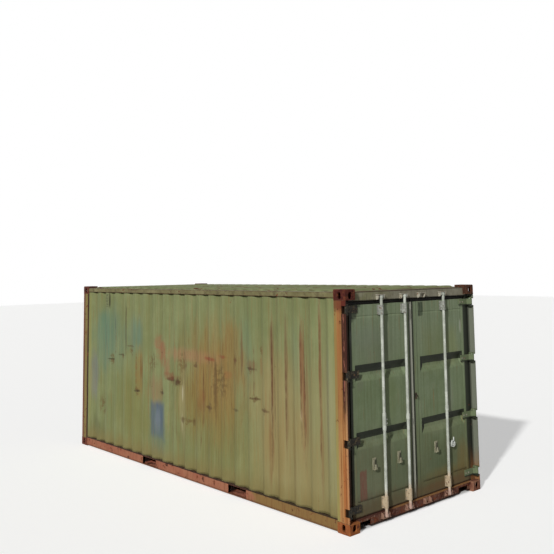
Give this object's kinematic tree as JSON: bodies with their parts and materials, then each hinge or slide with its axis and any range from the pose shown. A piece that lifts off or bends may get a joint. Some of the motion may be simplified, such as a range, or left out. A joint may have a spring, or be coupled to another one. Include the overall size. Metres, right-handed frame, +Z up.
{
  "type": "shipping container",
  "caption": "Steel freight container with corrugated walls, fork pockets, corner castings, hinged rear doors and turning lock rods, one rod lost.",
  "frame": {"origin": "on the ground under the middle of the container", "axes": "+X along the container towards the doors, +Y across it to the right seen from outside the doors, +Z up"},
  "size_m": [6.058, 2.438, 2.591],
  "materials": {
    "cast_corners": "rusted casting with paint left in the hollows",
    "gasket_rubber": "aged black rubber",
    "floor_timber": "worn plywood",
    "rod_paint": "pale paint, chalky",
    "frame_steel": "rusted steel with remains of green paint",
    "underside_steel": "dark underside coating with rust",
    "fittings_steel": "worn paint over rust",
    "door_paint": "faded green paint with rust at the foot",
    "roof_paint": "faded paint with rust blooms",
    "wall_paint": "faded green paint with rust streaks"
  },
  "bodies": {
    "container": {"door_left_bottom_casting": "cast_corners", "door_left_top_casting": "cast_corners", "door_right_bottom_casting": "cast_corners", "door_right_top_casting": "cast_corners", "front_left_bottom_casting": "cast_corners", "front_left_top_casting": "cast_corners", "front_right_bottom_casting": "cast_corners", "front_right_top_casting": "cast_corners", "left_door_post": "frame_steel", "left_front_post": "frame_steel", "left_bottom_rail": "frame_steel", "left_top_rail": "wall_paint", "left_wall": "wall_paint", "left_vent": "wall_paint", "left_hinge_lugs": "fittings_steel", "right_door_post": "frame_steel", "right_front_post": "frame_steel", "right_bottom_rail": "frame_steel", "right_top_rail": "wall_paint", "right_wall": "wall_paint", "right_vent": "wall_paint", "right_hinge_lugs": "fittings_steel", "front_bottom_rail": "frame_steel", "front_top_rail": "wall_paint", "front_wall": "wall_paint", "cross_members": "underside_steel", "front_fork_pocket": "underside_steel", "rear_fork_pocket": "underside_steel", "floor": "floor_timber", "roof": "roof_paint", "door_sill": "frame_steel", "door_header": "door_paint", "rear_roof_plate": "roof_paint", "front_roof_plate": "roof_paint", "sill_keepers": "fittings_steel", "header_keepers": "fittings_steel"},
    "left_door": {"left_door_frame": "door_paint", "left_door_panel": "door_paint", "left_door_gasket": "gasket_rubber", "left_hinge_straps": "fittings_steel", "left_rod_brackets": "fittings_steel", "left_handle_catches": "fittings_steel"},
    "right_door": {"right_door_frame": "door_paint", "right_door_panel": "door_paint", "right_door_gasket": "gasket_rubber", "right_hinge_straps": "fittings_steel", "right_rod_brackets": "fittings_steel", "right_handle_catches": "fittings_steel"},
    "left_outer_lock_rod": {"left_outer_lock_rod": "rod_paint"},
    "left_inner_lock_rod": {"left_inner_lock_rod": "rod_paint"},
    "right_outer_lock_rod": {"right_outer_lock_rod": "rod_paint"}
  },
  "joints": [
    {"name": "left_door_hinge", "type": "hinge", "parent": "container", "child": "left_door", "pos_m": [3.007, -1.183, 1.27], "axis": [0, 0, -1], "range_deg": [0, 260]},
    {"name": "right_door_hinge", "type": "hinge", "parent": "container", "child": "right_door", "pos_m": [3.007, 1.183, 1.27], "axis": [0, 0, 1], "range_deg": [0, 260]},
    {"name": "left_outer_rod_turn", "type": "hinge", "parent": "left_door", "child": "left_outer_lock_rod", "pos_m": [3.005, -0.59, 1.285], "axis": [0, 0, 1], "range_deg": [-110, 0]},
    {"name": "left_inner_rod_turn", "type": "hinge", "parent": "left_door", "child": "left_inner_lock_rod", "pos_m": [3.005, -0.168, 1.285], "axis": [0, 0, 1], "range_deg": [-110, 0]},
    {"name": "right_outer_rod_turn", "type": "hinge", "parent": "right_door", "child": "right_outer_lock_rod", "pos_m": [3.005, 0.59, 1.285], "axis": [0, 0, -1], "range_deg": [-110, 0]}
  ]
}
